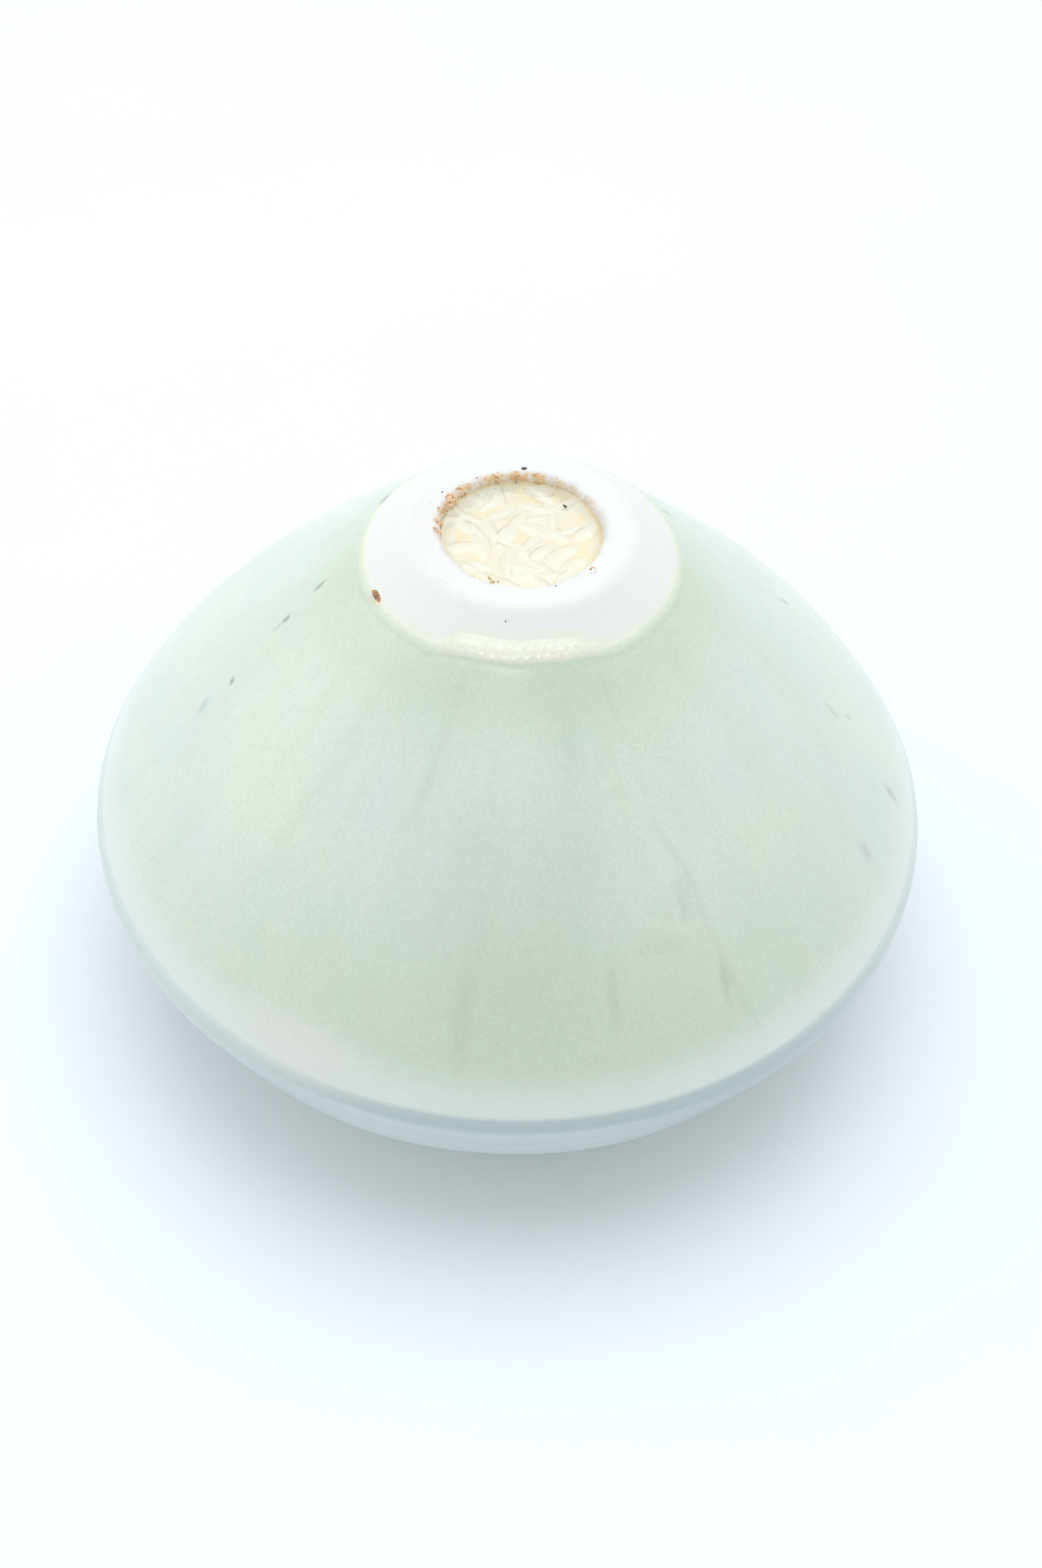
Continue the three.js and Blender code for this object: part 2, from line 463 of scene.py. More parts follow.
def connect(tree, socket, value):
    """Feeds a socket from another one, or sets it to a number, a vector or a colour"""
    if isinstance(value, bpy.types.NodeSocket):
        tree.links.new(value, socket)
    elif socket.type == "RGBA":
        socket.default_value = (*value, 1.0)
    else:
        socket.default_value = value


def add(tree, kind, inputs=None, **settings):
    """A node with its settings and what its inputs are connected to"""
    made = tree.nodes.new(kind)
    for name, value in settings.items():
        setattr(made, name, value)
    for name, value in (inputs or {}).items():
        connect(tree, made.inputs[name], value)
    return made


def maths(tree, operation, first, second=0.0):
    return add(tree, "ShaderNodeMath", {0: first, 1: second}, operation=operation).outputs[0]


def times(tree, first, second):
    return maths(tree, "MULTIPLY", first, second)


def rest(tree, value):
    """What is left of 1"""
    return maths(tree, "SUBTRACT", 1.0, value)


def spread(tree, value, low, high, to_low=0.0, to_high=1.0):
    """A soft step of a value from one range to another"""
    inputs = {"Value": value, 1: low, 2: high, 3: to_low, 4: to_high}
    return add(tree, "ShaderNodeMapRange", inputs, interpolation_type="SMOOTHSTEP").outputs[0]


def blend(tree, amount, first, second):
    """From one colour to another"""
    return add(tree, "ShaderNodeMix", {0: amount, 6: first, 7: second}, data_type="RGBA").outputs[2]


def over(tree, tone, colour, mask, strength):
    """A tone with a colour laid over it where a mask says, at a strength"""
    return blend(tree, times(tree, mask, strength), tone, colour)


def reading(tree, name):
    """A value kept on the mesh"""
    return add(tree, "ShaderNodeAttribute", attribute_name=name).outputs["Fac"]


def places(tree):
    return add(tree, "ShaderNodeTexCoord").outputs["Object"]


def effect(name, output, inputs):
    """An empty node group and its input sockets; an input's default is a number or a vector"""
    tree = bpy.data.node_groups.new(name, "ShaderNodeTree")
    tree.interface.new_socket(output, in_out="OUTPUT", socket_type="NodeSocketFloat")
    for label, default in inputs.items():
        kind = "NodeSocketFloat" if isinstance(default, float) else "NodeSocketVector"
        tree.interface.new_socket(label, in_out="INPUT", socket_type=kind).default_value = default
    return tree, tree.nodes.new("NodeGroupInput").outputs


def put_out(tree, value):
    """The effect with its output fed"""
    tree.links.new(value, tree.nodes.new("NodeGroupOutput").inputs[0])
    return tree


def per_metre(tree, size):
    """Texture scale for a size in millimetres"""
    return maths(tree, "DIVIDE", 1.0 / MM, size)


def mottle_effect():
    """Cloudy variation of one grain size"""
    tree, given = effect("Mottle", "Value", {"Size": 1.0, "Detail": 2.0, "Seed": 0.0})
    inputs = {
        "Vector": places(tree),
        "W": given["Seed"],
        "Scale": per_metre(tree, given["Size"]),
        "Detail": given["Detail"],
    }
    return put_out(tree, add(tree, "ShaderNodeTexNoise", inputs, noise_dimensions="4D").outputs[0])


def turning_lines_effect():
    """Fine lines round the axis, as a wheel leaves them"""
    tree, given = effect("Turning lines", "Value", {"Spacing": 0.5, "Wander": 0.3})
    x, y, z = add(tree, "ShaderNodeSeparateXYZ", {0: places(tree)}).outputs
    squares = maths(tree, "ADD", times(tree, x, x), times(tree, y, y))
    outward = maths(tree, "SUBTRACT", maths(tree, "SQRT", squares), z)
    drift = add(tree, "ShaderNodeTexNoise", {"Vector": places(tree), "Scale": 90.0, "Detail": 1.0})
    stray = times(tree, drift.outputs[0], given["Wander"])
    distance = maths(tree, "ADD", maths(tree, "DIVIDE", outward, MM), stray)
    inputs = {"W": maths(tree, "DIVIDE", distance, given["Spacing"]), "Scale": 1.0, "Detail": 3.0}
    return put_out(tree, add(tree, "ShaderNodeTexNoise", inputs, noise_dimensions="1D").outputs[0])


def run_streaks_effect():
    """Long streaks down the wall, as glaze runs"""
    tree, given = effect("Run streaks", "Value", {"Width": 3.0, "Length": 30.0, "Seed": 0.0})
    x, y, z = add(tree, "ShaderNodeSeparateXYZ", {0: places(tree)}).outputs
    level = add(tree, "ShaderNodeCombineXYZ", {0: x, 1: y})
    compass = add(tree, "ShaderNodeVectorMath", {0: level.outputs[0]}, operation="NORMALIZE")
    mean_radius = 40.0
    stretch = {0: compass.outputs[0], "Scale": maths(tree, "DIVIDE", mean_radius, given["Width"])}
    around = add(tree, "ShaderNodeVectorMath", stretch, operation="SCALE")
    rise = maths(tree, "DIVIDE", maths(tree, "DIVIDE", z, MM), given["Length"])
    up = add(tree, "ShaderNodeCombineXYZ", {2: rise})
    where = add(tree, "ShaderNodeVectorMath", {0: around.outputs[0], 1: up.outputs[0]}, operation="ADD")
    inputs = {"Vector": where.outputs[0], "W": given["Seed"], "Scale": 1.0, "Detail": 2.0}
    return put_out(tree, add(tree, "ShaderNodeTexNoise", inputs, noise_dimensions="4D").outputs[0])


def specks_effect():
    """Sparse round specks: one in some of the cells of a grid"""
    tree, given = effect("Specks", "Mask", {"Spacing": 4.0, "Size": 0.2, "Share": 0.4})
    inputs = {"Vector": places(tree), "Scale": per_metre(tree, given["Spacing"])}
    cells = add(tree, "ShaderNodeTexVoronoi", inputs).outputs
    reach = maths(tree, "DIVIDE", given["Size"], given["Spacing"])
    near = rest(tree, spread(tree, cells["Distance"], 0.0, reach))
    lottery = add(tree, "ShaderNodeSeparateColor", {0: cells["Color"]}).outputs[0]
    return put_out(tree, times(tree, near, maths(tree, "LESS_THAN", lottery, given["Share"])))


def smudge_effect():
    """A soft long spot at a place; each axis is as long as one over the spot's half size along it"""
    axes = ("Along", "Across", "Through")
    tree, given = effect("Smudge", "Mask", {label: (0.0, 0.0, 0.0) for label in ("Place", *axes)})
    from_place = {0: places(tree), 1: given["Place"]}
    away = add(tree, "ShaderNodeVectorMath", from_place, operation="SUBTRACT").outputs[0]
    squares = []
    for label in axes:
        axis = {0: away, 1: given[label]}
        part = add(tree, "ShaderNodeVectorMath", axis, operation="DOT_PRODUCT").outputs["Value"]
        squares.append(times(tree, part, part))
    reach = maths(tree, "SQRT", maths(tree, "ADD", maths(tree, "ADD", *squares[:2]), squares[2]))
    return put_out(tree, spread(tree, reach, 1.0, 0.15))


EFFECTS = {
    "Mottle": mottle_effect,
    "Turning lines": turning_lines_effect,
    "Run streaks": run_streaks_effect,
    "Specks": specks_effect,
    "Smudge": smudge_effect,
}


def use(tree, name, **inputs):
    """A shared effect, built when it is first used, with its own values"""
    group = bpy.data.node_groups.get(name) or EFFECTS[name]()
    named = {label.capitalize(): value for label, value in inputs.items()}
    return add(tree, "ShaderNodeGroup", named, node_tree=group).outputs[0]


def mottle(tree, size, detail, seed):
    return use(tree, "Mottle", size=size, detail=detail, seed=seed)


def bump(tree, height, depth, below=None):
    """A bump of a depth in metres, over another one"""
    inputs = {"Height": height, "Distance": depth, "Strength": 1.0}
    if below is not None:
        inputs["Normal"] = below
    return add(tree, "ShaderNodeBump", inputs).outputs[0]


def new_material(name):
    """A material, cleared if it is there already, and its tree"""
    material = bpy.data.materials.get(name) or bpy.data.materials.new(name)
    material.use_nodes = True
    material.node_tree.nodes.clear()
    return material, material.node_tree


def finished(material, **sockets):
    """The material with a Principled shader that is fed through its named sockets"""
    tree = material.node_tree
    shader = tree.nodes.new("ShaderNodeBsdfPrincipled")
    for name, value in sockets.items():
        connect(tree, shader.inputs[name.replace("_", " ")], value)
    add(tree, "ShaderNodeOutputMaterial", {"Surface": shader.outputs[0]})
    return material


# Finishes

# Bands at the belly, in millimetres over its widest circle: where each starts and where it is full
PALE_FROM = (9.0, 3.2)
# The next five bands place painted shade: the dark line along the turn of the belly and the bluish band under
# it
SHADE_LINE_FROM = (3.0, 2.2)
SHADE_LINE_TO = (1.4, 0.5)
SHADE_LINE_TO_AT_SIDES = (-2.5, -5.0)
UNDER_SHADE_FROM = (2.6, 1.4)
UNDER_SHADE_TO = (-2.0, -8.0)
GRAIN_FADES = (9.0, 4.0)
THROWN_FROM = (4.0, -2.0)


def celadon(form, glaze):
    """Pale green glaze: mottled, cream at its line and pale over the belly; painted shade makes a dark line
    and a bluish band under the belly, and a painted dark reflection greys the cone's front
    """
    material, tree = new_material("Celadon glaze")
    height = add(tree, "ShaderNodeSeparateXYZ", {0: places(tree)}).outputs[2]

    def falling(high, low):
        """0 above a height over the belly, 1 below another, in millimetres"""
        return spread(tree, height, form.belly_height + high * MM, form.belly_height + low * MM)

    drift = spread(tree, mottle(tree, 14.0, 2.0, 1.0), 0.35, 0.65)
    streak = spread(tree, use(tree, "Run streaks", width=4.0, length=26.0, seed=3.0), 0.35, 0.7)
    tone = blend(tree, drift, glaze.body, glaze.grey)
    tone = over(tree, tone, glaze.deep, streak, 0.3)
    tone = blend(tree, reading(tree, "pooled"), tone, glaze.deep)
    tone = over(tree, tone, glaze.shade, reading(tree, "run"), 0.14)
    tone = over(tree, tone, glaze.thin, falling(*PALE_FROM), 0.85)
    # Painted shade under the belly: a bluish band with pale throwing stripes, the shaded underside mirroring
    # the shadowed floor, strongest in front
    stripes = spread(tree, use(tree, "Turning lines", spacing=0.6, wander=1.4), 0.34, 0.68, 0.0, 0.45)
    under_belly = falling(*UNDER_SHADE_TO)
    striped = over(tree, glaze.under, glaze.thin, stripes, rest(tree, under_belly))
    striped = over(tree, striped, glaze.body, under_belly, 0.6)
    dark = reading(tree, "dark_side")
    tone = over(tree, tone, striped, falling(*UNDER_SHADE_FROM), dark)
    # Painted shade: a dark line along the turn of the belly, strongest in front and reaching lower round the
    # sides where the shoulder is tucked
    tucked = reading(tree, "tucked")
    ended = times(tree, falling(*SHADE_LINE_TO), rest(tree, tucked))
    ended = maths(tree, "ADD", ended, times(tree, falling(*SHADE_LINE_TO_AT_SIDES), tucked))
    crease = times(tree, falling(*SHADE_LINE_FROM), rest(tree, ended))
    tone = over(tree, tone, glaze.crease, crease, dark)
    tone = blend(tree, reading(tree, "cream"), tone, glaze.line)
    crumble = spread(tree, mottle(tree, 0.8, 3.0, 14.0), 0.36, 0.58, 0.6, 1.0)
    for *spot, strength in SMUDGES:
        soft = times(tree, smudge(tree, form, glaze, *spot), crumble)
        tone = over(tree, tone, glaze.shade, soft, strength)
    blush_height = form.belly_height / MM + 5.5
    for colour_over, spot, strength in (
        # Painted dark reflection: a broad grey patch over the front of the cone
        (glaze.shade, (-88.0, 49.5, 38.0, 46.0, 0.0), 0.14),
        (glaze.blush, (-116.0, blush_height, 34.0, 13.0, 0.0), 0.7),
        (glaze.rust, (*IRON_SPOT[:2], 4.0, 2.8, IRON_SPOT[4]), 0.45),
    ):
        tone = over(tree, tone, colour_over, smudge(tree, form, glaze, *spot), strength)
    grain = spread(tree, mottle(tree, 0.36, 3.0, 2.0), 0.3, 0.7, -0.04, 0.04)
    grain = times(tree, grain, rest(tree, times(tree, falling(*GRAIN_FADES), 0.6)))
    brightness = maths(tree, "ADD", 1.0, grain)
    speckled = add(tree, "ShaderNodeHueSaturation", {"Color": tone, "Value": brightness})
    lines = use(tree, "Turning lines", spacing=1.5, wander=0.6)
    thrown = bump(tree, times(tree, lines, falling(*THROWN_FROM)), 0.006 * MM)
    dimple = bump(tree, mottle(tree, 4.0, 1.0, 4.0), 0.04 * MM, thrown)
    roll = reading(tree, "roll")
    return finished(
        material,
        Base_Color=speckled.outputs[0],
        Roughness=spread(tree, drift, 0.0, 1.0, 0.28, 0.34),
        Normal=bump(tree, times(tree, mottle(tree, 0.8, 1.0, 5.0), roll), 0.1 * MM, dimple),
        IOR=1.5,
        Coat_Weight=spread(tree, roll, 0.1, 0.6, 0.35, 0.7),
        Coat_Roughness=0.06,
    )


def pale_celadon(glaze):
    """Thin celadon on the lip and inside, with throwing rings showing through"""
    material, tree = new_material("Thin celadon glaze")
    cloud = spread(tree, mottle(tree, 8.0, 2.0, 6.0), 0.3, 0.7)
    streak = spread(tree, use(tree, "Run streaks", width=5.0, length=30.0, seed=7.0), 0.4, 0.75)
    tone = blend(tree, cloud, glaze.thin, glaze.body)
    fine = mottle(tree, 0.9, 3.0, 8.0)
    rings = bump(tree, use(tree, "Turning lines", spacing=2.4, wander=0.5), 0.2 * MM)
    return finished(
        material,
        Base_Color=over(tree, tone, glaze.deep, streak, 0.4),
        Roughness=spread(tree, fine, 0.3, 0.7, 0.18, 0.26),
        Normal=bump(tree, fine, 0.02 * MM, rings),
        Coat_Weight=0.3,
        Coat_Roughness=0.08,
    )


def bare_clay(look):
    """White fired clay with turning lines, grey smudges and an iron stain"""
    material, tree = new_material("Bare white clay")
    lines = use(tree, "Turning lines", spacing=0.42, wander=0.25)
    cloud = mottle(tree, 5.0, 3.0, 9.0)
    grain = mottle(tree, 0.22, 2.0, 10.0)
    dirt = times(tree, spread(tree, lines, 0.5, 0.72), spread(tree, cloud, 0.45, 0.7))
    tone = over(tree, look.clay, look.smudge, dirt, 0.12)
    pores = use(tree, "Specks", spacing=0.9, size=0.16, share=0.2)
    tone = over(tree, tone, look.smudge, pores, spread(tree, cloud, 0.4, 0.6, 0.2, 0.8))
    tone = over(tree, tone, look.smudge, reading(tree, "worn"), 0.3)
    crumbs = mottle(tree, 0.7, 3.0, 19.0)
    tone = over(tree, tone, look.stain, reading(tree, "stain"), spread(tree, crumbs, 0.4, 0.6, 0.35, 1.1))
    rough = bump(tree, grain, 0.015 * MM)
    return finished(
        material,
        Base_Color=over(tree, tone, look.film, reading(tree, "film"), 0.6),
        Roughness=spread(tree, grain, 0.3, 0.7, 0.72, 0.9),
        Normal=bump(tree, lines, 0.004 * MM, rough),
        IOR=1.45,
    )


def two_tone(name, grain, contrast, tones, roughness, depth):
    """A finish of two tones that are mottled together; a grain is its size, detail and seed"""
    material, tree = new_material(name)
    fine = mottle(tree, *grain)
    if not isinstance(roughness, float):
        roughness = spread(tree, fine, 0.3, 0.7, *roughness)
    return finished(
        material,
        Base_Color=blend(tree, spread(tree, fine, *contrast), *tones),
        Roughness=roughness,
        Normal=bump(tree, fine, depth),
    )


def wet_slip(look):
    """The seam between the two thrown sections"""
    return two_tone("Fired slip", (1.5, 3.0, 11.0), (0.3, 0.7), (look.slip, look.clay), 0.9, 0.1 * MM)


def cream_pool(glaze):
    """Cream glaze in the well: paler on the ridges, yellow where it pools, amber up the wall, with painted
    shade along the strokes' edges
    """
    material, tree = new_material("Cream pool glaze")
    cloud = mottle(tree, 3.0, 2.0, 12.0)
    fine = mottle(tree, 0.5, 3.0, 13.0)
    tone = blend(tree, spread(tree, cloud, 0.35, 0.75), glaze.cream, glaze.cream_pale)
    tone = over(tree, tone, glaze.cream_deep, reading(tree, "gap"), spread(tree, cloud, 0.42, 0.6, 0.1, 0.8))
    # Painted shade along one edge of each stroke
    tone = over(tree, tone, glaze.cream_shade, reading(tree, "crease"), 0.75)
    tone = blend(tree, reading(tree, "amber"), tone, glaze.amber)
    tone = blend(tree, reading(tree, "rim"), tone, glaze.rim)
    specks = use(tree, "Specks", spacing=2.6, size=0.2, share=0.12)
    return finished(
        material,
        Base_Color=over(tree, tone, glaze.cream_speck, specks, 0.6),
        Roughness=spread(tree, fine, 0.3, 0.7, 0.28, 0.42),
        Normal=bump(tree, fine, 0.03 * MM),
        Coat_Weight=0.25,
        Coat_Roughness=0.1,
    )


def fused_grit(look):
    """Rusty and glassy grains"""
    material, tree = new_material("Kiln grit")
    fine = mottle(tree, 0.35, 3.0, 14.0)
    tone = blend(tree, spread(tree, reading(tree, "tint"), 0.1, 0.8), look.grit, look.grit_pale)
    return finished(
        material,
        Base_Color=blend(tree, spread(tree, fine, 0.55, 0.75), tone, look.stain),
        Roughness=spread(tree, fine, 0.3, 0.7, 0.25, 0.6),
        Normal=bump(tree, fine, 0.08 * MM),
    )


def burnt_iron(look):
    """Iron that has melted into the glaze, brown to rust"""
    tones = (look.iron, look.grit)
    return two_tone("Burnt iron", (0.5, 3.0, 18.0), (0.35, 0.65), tones, (0.3, 0.5), 0.03 * MM)


def dark_specks(look):
    """Burnt-in grains, nearly black"""
    tones = (look.speck, look.speck_pale)
    return two_tone("Dark specks", (0.3, 2.0, 15.0), (0.4, 0.8), tones, 0.4, 0.05 * MM)


def pale_floor(stage):
    """Matte pale board with a faint cloudiness"""
    material, tree = new_material("Pale floor")
    dimmer = tuple(0.97 * part for part in stage.floor)
    return finished(
        material,
        Base_Color=blend(tree, mottle(tree, 60.0, 3.0, 16.0), stage.floor, dimmer),
        Roughness=0.9,
        Normal=bump(tree, mottle(tree, 0.6, 2.0, 17.0), 0.01 * MM),
    )


# Pieces

# Sides are angles round the axis in degrees; -90 is the side that the camera sees


def ramp(none, full, distance):
    """0 at one distance and 1 at another, in millimetres, with a soft step between them"""
    return smooth(none * MM, full * MM, distance)


def window(angle, side, none, full):
    """0 at one angle from a side and 1 at another, in degrees"""
    return smooth(math.radians(none), math.radians(full), np.abs(gap(angle, math.radians(side))))


def bell(angle, side, width, power=2):
    """1 at a side, falling off over a width in radians"""
    return np.exp(-(np.abs(gap(angle, math.radians(side)) / width) ** power))


def hump(along, middle, width):
    """1 at a distance along an outline, falling off over a width"""
    return np.exp(-(((along - middle) / width) ** 2))


def well_wander(angle):
    """How far the well's edge strays from round"""
    return MM * (0.09 * waves(angle, 0.0, 7, 9, seed=21) + 0.035 * waves(angle, 0.0, 9, 70, seed=27))


def by_well(form, radius, none, full):
    """0 at one distance outside the well's edge and 1 at another, in millimetres"""
    return smooth(form.well_radius + none * MM, form.well_radius + full * MM, radius)


def rust_side(angle):
    """1 on the side of the well where grit has stuck and stained the clay"""
    return window(angle, 128.0, 72.0, 45.0)


def thick_side(angle, glaze):
    """1 where the glaze ran into a thick roll at the foot"""
    aside = np.abs(gap(angle, glaze.roll_from)) / glaze.roll_spread
    return np.exp(-(aside**8)) * (0.98 + 0.02 * waves(angle, 0.0, 6, 40, seed=31))


def line_shift(angle, glaze):
    """How far along the outline the glaze line lies from its mean place; up the bevel is less than 0"""
    stray = glaze.line_wander * waves(angle, 0.0, 9, 16, seed=33)
    facing = np.cos(np.clip(0.75 * gap(angle, glaze.roll_from), -math.pi / 2, math.pi / 2)) ** 2
    return stray - glaze.line_climb * facing - glaze.roll_climb * thick_side(angle, glaze)


def curtain(angle, along):
    """1 along the thin wavy lip where a second run of glaze stopped, just under the roll"""
    middle = 2.6 * MM + 0.2 * MM * waves(angle, 0.0, 5, 14, seed=35)
    return hump(along, middle, 0.25 * MM) * bell(angle, -98.0, 0.3, 4)


# Ridges where glaze ran: side and lean in degrees, half width and length in millimetres, strength
RUNS = (
    (-61.6, 9.1, 0.5, 78.0, 0.9),
    (-105.2, -12.4, 0.7, 26.0, 0.8),
    (-75.0, 2.0, 1.2, 30.0, 0.4),
    (-93.0, -1.0, 1.5, 60.0, 0.25),
    (-128.0, -6.0, 1.2, 34.0, 0.35),
    (-35.0, 6.0, 1.2, 40.0, 0.3),
    (20.0, -4.0, 1.0, 36.0, 0.4),
    (95.0, 3.0, 0.9, 48.0, 0.5),
    (160.0, -3.0, 1.1, 40.0, 0.4),
)


def run_ridges(angle, along, form):
    """The ridges where glaze ran, as a share of their full height"""
    runs = np.zeros(np.broadcast(angle, along).shape)
    for number, (side, lean, half_width, length_mm, strength) in enumerate(RUNS):
        end = length_mm * MM
        stray = 0.012 * waves(along / (9.0 * MM), 0.0, 4, 4, seed=60 + number)
        middle = math.radians(side) + math.radians(lean) * along / (60.0 * MM) + stray
        across = gap(angle, middle) * (form.glaze_radius + 0.65 * along)
        fade = smooth(end, 0.6 * end, along) * ramp(2.0, 5.0, along)
        broken = np.clip(0.7 + 0.5 * waves(along / (7.0 * MM), 0.0, 4, 3, seed=80 + number), 0.2, 1.2)
        runs = runs + strength * broken * hump(across, 0.0, half_width * MM) * fade
    return runs


def coat_lift(angle, along, form, glaze):
    """Height of the glaze over its outline, and its roll and runs as shares"""
    thick = thick_side(angle, glaze)
    reach = along / glaze.roll_width
    bead = smooth(0.0, 1.1, reach) * smooth(2.05, 1.4, reach)
    stray = 1.2 * waves(angle, 0.0, 5, 30, seed=34)
    ripple = np.cos(angle * form.glaze_radius * math.tau / (1.35 * MM) + stray)
    ripple = 0.06 * MM * thick * ripple * hump(along, 1.25 * MM, 0.3 * MM)
    roll = (glaze.roll_thin + (glaze.roll_thick - glaze.roll_thin) * thick) * bead + ripple
    runs = run_ridges(angle, along, form)
    away = ramp(1.0, 10.0, along) * ramp(0.0, 8.0, outside(form).end - along)
    wobble = 0.10 * MM * waves(angle, along, 9, 5, seed=32) * away
    skin = 0.07 * MM * ramp(0.2, 1.2, along) * ramp(8.0, 3.0, along)
    sink = 0.06 * MM * ramp(0.5, 0.0, along)
    lift = roll + skin + 0.06 * MM * runs + wobble - sink
    return lift, thick * bead, runs


def cream_share(angle, along, glaze):
    """How far the glaze has gone cream: at its edge, in its roll, and in two patches beside the roll"""
    edge = 0.6 * hump(along, 0.0, 0.9 * MM) * (1.0 - thick_side(angle, glaze))
    crest = 0.6 + 0.35 * ramp(0.5, 1.0, along)
    roll = crest * thick_side(angle, glaze) * ramp(2.0, 1.65, along)
    left = bell(angle, -133.0, 0.28, 4) * ramp(7.0, 1.5, along)
    right = bell(angle, -52.0, 0.2, 4) * ramp(4.5, 1.0, along)
    return np.clip(edge + roll + 0.16 * left + 0.12 * right + 0.35 * curtain(angle, along), 0.0, 1.0)


def pooled_share(angle, along, glaze):
    """How far the glaze has pooled: just under its roll and low on the side where it ran"""
    under_roll = ramp(1.7, 2.0, along) * ramp(7.0, 2.2, along)
    low = ramp(26.0, 46.0, along) * bell(angle, -80.0, 0.75)
    foot = 0.75 * ramp(16.0, 2.0, along)
    return np.clip(np.maximum(thick_side(angle, glaze) * under_roll, foot) + low, 0.0, 1.0)


def tucked_side(angle):
    """How far the shoulder draws in under the belly: not in front, fully round the sides and the back"""
    return window(angle, -90.0, 12.0, 38.0)


def shoulder_tuck(angle, below_belly):
    """How deep the shoulder draws in, at distances along the outline below the belly"""
    return 0.8 * MM * tucked_side(angle) * (ramp(0.5, 5.0, below_belly) * ramp(24.0, 14.0, below_belly))


def dark_side(angle):
    """How strong the painted shade along and under the belly is: strong in front, faint round the sides and
    the back
    """
    return 0.25 + 0.65 * bell(angle, -78.0, 0.72, 3)


class VASE_OT_clay_sections(bpy.types.Operator):
    """Gives the hidden thrown sections and their seam the look of fired clay"""

    bl_idname = "vase.clay_sections"
    bl_label = "Clay sections"

    def execute(self, context):
        look = context.scene.vase_clay
        clay = bare_clay(look)
        finishes = {"lower_body": clay, "shoulder_body": clay, "luting_slip": wet_slip(look)}
        for node, material in finishes.items():
            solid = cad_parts[node]
            solid.data.materials.clear()
            solid.data.materials.append(material)
        return {"FINISHED"}


def foot_outline(form):
    """The foot ring's section: up the wall of the well, over the flat and the bevel, and back under it"""
    face, line, bend = form.foot_face, glaze_line(form), flat_edge(form)
    edge_round = 1.2 * MM
    bevel = (line - bend) / np.linalg.norm(line - bend)
    bend_starts = bend - (0.9 * MM, 0.0)
    bend_ends = bend + 1.2 * MM * bevel
    below = line + 0.6 * MM * downhill(form.lean_at_foot)
    skirt = np.array([form.glaze_radius + 0.6 * MM, form.foot_underside])
    wall = form.well_radius - OVERLAP
    start = (wall, form.foot_underside)
    path = joined(
        straight(start, (wall, face - edge_round)),
        arc((wall + edge_round, face - edge_round), edge_round, math.pi, math.pi / 2),
        straight((wall + edge_round, face), bend_starts),
        bezier([bend_starts, bend, bend_ends]),
        through(bend_ends, line, below, skirt, start)[:-1],
    )
    return Outline(path)


class VASE_OT_foot_ring(bpy.types.Operator):
    """Turns the bare foot: the flat ring, its bevel and the wall of the well"""

    bl_idname = "vase.foot_ring"
    bl_label = "Foot ring"

    def execute(self, context):
        form, glaze = context.scene.vase_form, context.scene.vase_glaze
        outline = foot_outline(form)
        wall_end = form.foot_face - form.foot_underside
        flat_end = wall_end + form.foot_flat_radius - form.well_radius
        line_end = flat_end + form.glaze_drop + 4.5 * MM
        along = steps(
            (wall_end - 3.0 * MM, 1.0 * MM),
            (wall_end - 0.6 * MM, 0.2 * MM),
            (flat_end, 0.11 * MM),
            (line_end, 0.16 * MM),
            (outline.end, 1.2 * MM),
        )[:, None]
        angle = circle_angles(FOOT_SEGMENTS)
        radius, height = outline.at(along)
        top = smooth(form.foot_face - 4.6 * MM, form.foot_face - 3.6 * MM, height)
        outward = by_well(form, radius, 0.0, 0.8)
        lines = 0.004 * MM * np.sin(math.tau * radius / (0.9 * MM) + 2.0 * np.sin(angle + 0.6))
        wobble = 0.03 * MM * waves(angle, along, 8, 6, seed=22)
        inner = by_well(form, radius, 1.6, 0.0) * top
        chips = np.clip(waves(angle, 0.0, 9, 60, seed=23) - 1.1, 0.0, 1.0)
        height = height + (lines + wobble) * top * outward - 0.25 * MM * chips * inner * outward
        height = height - 0.05 * MM * inner * outward
        radius = radius + well_wander(angle) * by_well(form, radius, 2.0, 0.0)
        line, bend = glaze_line(form), flat_edge(form)
        to_line = np.linalg.norm(line - bend) - np.hypot(radius - bend[0], height - bend[1])
        film = ramp(1.1, 0.0, to_line + line_shift(angle, glaze))
        dusty = bell(angle, 185.0, 0.7) * top
        dusty = dusty * smooth(bend[0] + 0.8 * MM, bend[0] - 0.8 * MM, radius)
        rubbed = by_well(form, radius, 1.3, 0.2) * top
        worn = rubbed * np.clip(0.5 + 0.4 * waves(angle, along, 8, 30, seed=25), 0.0, 1.0)
        patch = np.clip(0.6 + 0.5 * waves(angle, along, 10, 44, seed=24), 0.0, 1.0)
        far_side = window(angle, 105.0, 110.0, 60.0)
        stain = (0.12 + 0.5 * far_side) * by_well(form, radius, 0.6, 0.15) * (0.6 + 0.4 * patch)
        stain = stain + 0.6 * patch * rust_side(angle) * by_well(form, radius, 1.0, 0.3)
        turned_piece(
            "foot_clay",
            (radius, height),
            bare_clay(context.scene.vase_clay),
            "clay",
            "foot_ring",
            film=film * smooth(bend[0], bend[0] + 0.5 * MM, radius),
            worn=np.maximum(worn, 0.2 * dusty),
            stain=np.clip(stain + 0.06 * dusty, 0.0, 1.0),
        )
        return {"FINISHED"}


